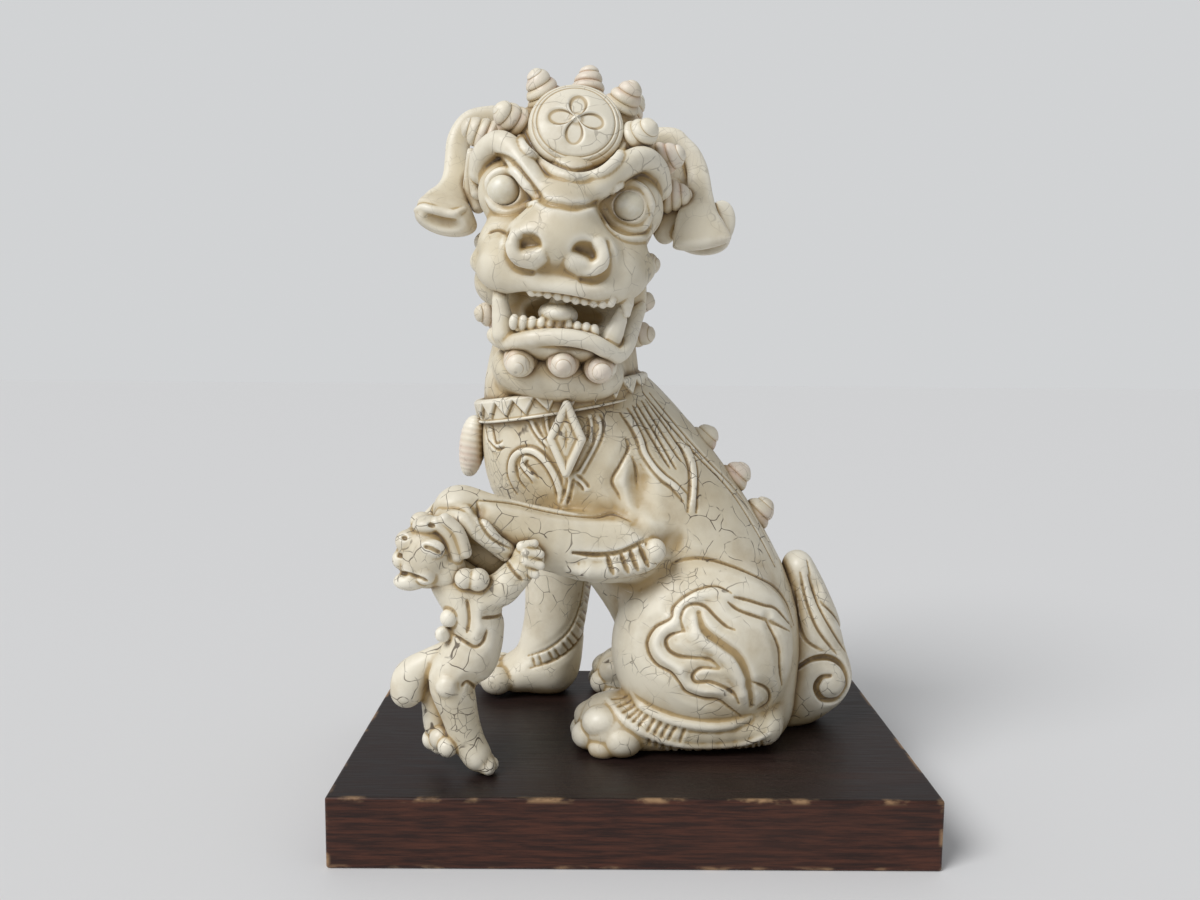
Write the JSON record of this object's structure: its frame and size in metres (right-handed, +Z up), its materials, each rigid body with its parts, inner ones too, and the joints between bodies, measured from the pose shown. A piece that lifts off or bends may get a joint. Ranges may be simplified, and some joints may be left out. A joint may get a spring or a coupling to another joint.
{
  "type": "guardian lion figurine",
  "caption": "Seated guardian lion with a cub under its raised paw, a curled crown and an open mouth, in crackled cream on a dark wooden base; a free-standing ornament.",
  "frame": {"origin": "middle of the underside of the wooden base", "axes": "+Z up, +X towards the tail, -Y out of the lion's turned face, towards the viewer"},
  "size_m": [0.22, 0.14, 0.2927],
  "materials": {
    "crackled_cream": "cream casting resin, satin, crackled and antiqued brown in the recesses",
    "tinted_cream": "cream casting resin with a pink or yellow tint, satin",
    "pearl_eye": "smooth pearly cream",
    "stained_wood": "dark brown stain, satin, worn along the edges",
    "felt": "pressed felt",
    "steel": "plain bright steel"
  },
  "bodies": {
    "root": {"wooden_base": "stained_wood", "felt_sheet": "felt", "base_screws": "steel", "body_casting": "crackled_cream", "standing_foreleg": "crackled_cream", "raised_foreleg": "crackled_cream", "head_casting": "crackled_cream", "lower_jaw": "crackled_cream", "eyes": "pearl_eye", "left_ear": "crackled_cream", "right_ear": "crackled_cream", "crown_medallion": "crackled_cream", "crown_curls": "tinted_cream", "cheek_curls": "tinted_cream", "chin_curls": "tinted_cream", "collar": "crackled_cream", "collar_bud": "tinted_cream", "chest_pendant": "crackled_cream", "spine_curls": "tinted_cream", "tail": "crackled_cream", "cub_body": "crackled_cream", "cub_head": "crackled_cream", "neck_dowel": "steel", "limb_dowels": "steel"}
  },
  "joints": []
}
